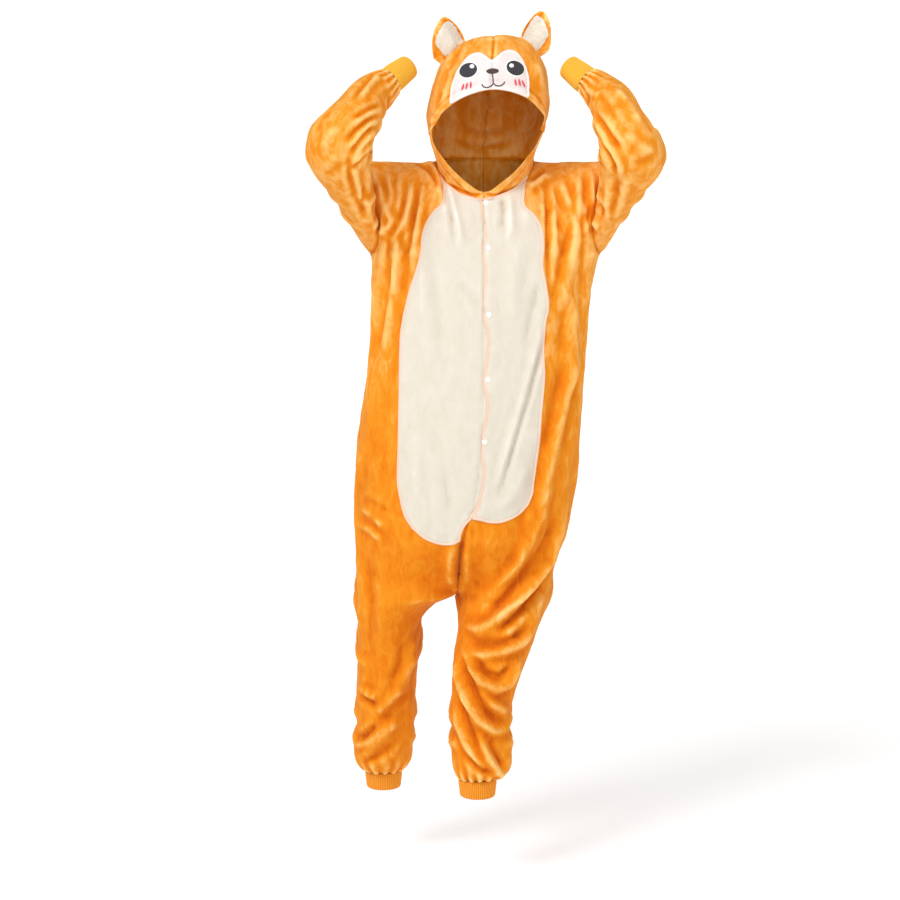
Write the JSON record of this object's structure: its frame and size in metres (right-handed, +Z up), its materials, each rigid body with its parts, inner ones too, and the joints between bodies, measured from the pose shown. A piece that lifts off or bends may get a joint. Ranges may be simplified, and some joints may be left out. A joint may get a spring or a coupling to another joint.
{
  "type": "hooded animal onesie",
  "caption": "Hooded one-piece monkey costume of plush cloth with a cream belly, snap placket, ribbed cuffs, a sewn-on face and round ears, in its worn form.",
  "frame": {"origin": "base of the neck, midway between the shoulder seams and level with them, where the wearer's shoulders carry the garment", "axes": "+Z up the wearer's body, -Y out of the front placket, +X towards the wearer's left"},
  "size_m": [0.6919, 0.4085, 1.6137],
  "materials": {
    "orange_plush": "plush flannel with a short brushed pile",
    "cream_plush": "cream plush with a short brushed pile",
    "yellow_rib": "stretch rib knit",
    "orange_rib": "stretch rib knit",
    "black_felt": "flat felt applique",
    "brown_felt": "flat felt applique",
    "snap_plastic": "smooth white plastic caps"
  },
  "bodies": {
    "root": {"front_right": "orange_plush", "back_right": "orange_plush", "sleeve_right": "orange_plush", "hood_right": "orange_plush", "ear_right": "orange_plush", "wrist_cuff_right": "yellow_rib", "ankle_cuff_right": "orange_rib", "belly_right": "cream_plush", "ear_inner_right": "cream_plush", "eye_right": "black_felt", "front_left": "orange_plush", "back_left": "orange_plush", "sleeve_left": "orange_plush", "hood_left": "orange_plush", "ear_left": "orange_plush", "wrist_cuff_left": "yellow_rib", "ankle_cuff_left": "orange_rib", "belly_left": "cream_plush", "ear_inner_left": "cream_plush", "eye_left": "black_felt", "face": "cream_plush", "nose": "brown_felt", "snap_1": "snap_plastic", "snap_2": "snap_plastic", "snap_3": "snap_plastic", "snap_4": "snap_plastic", "snap_5": "snap_plastic"}
  },
  "joints": []
}
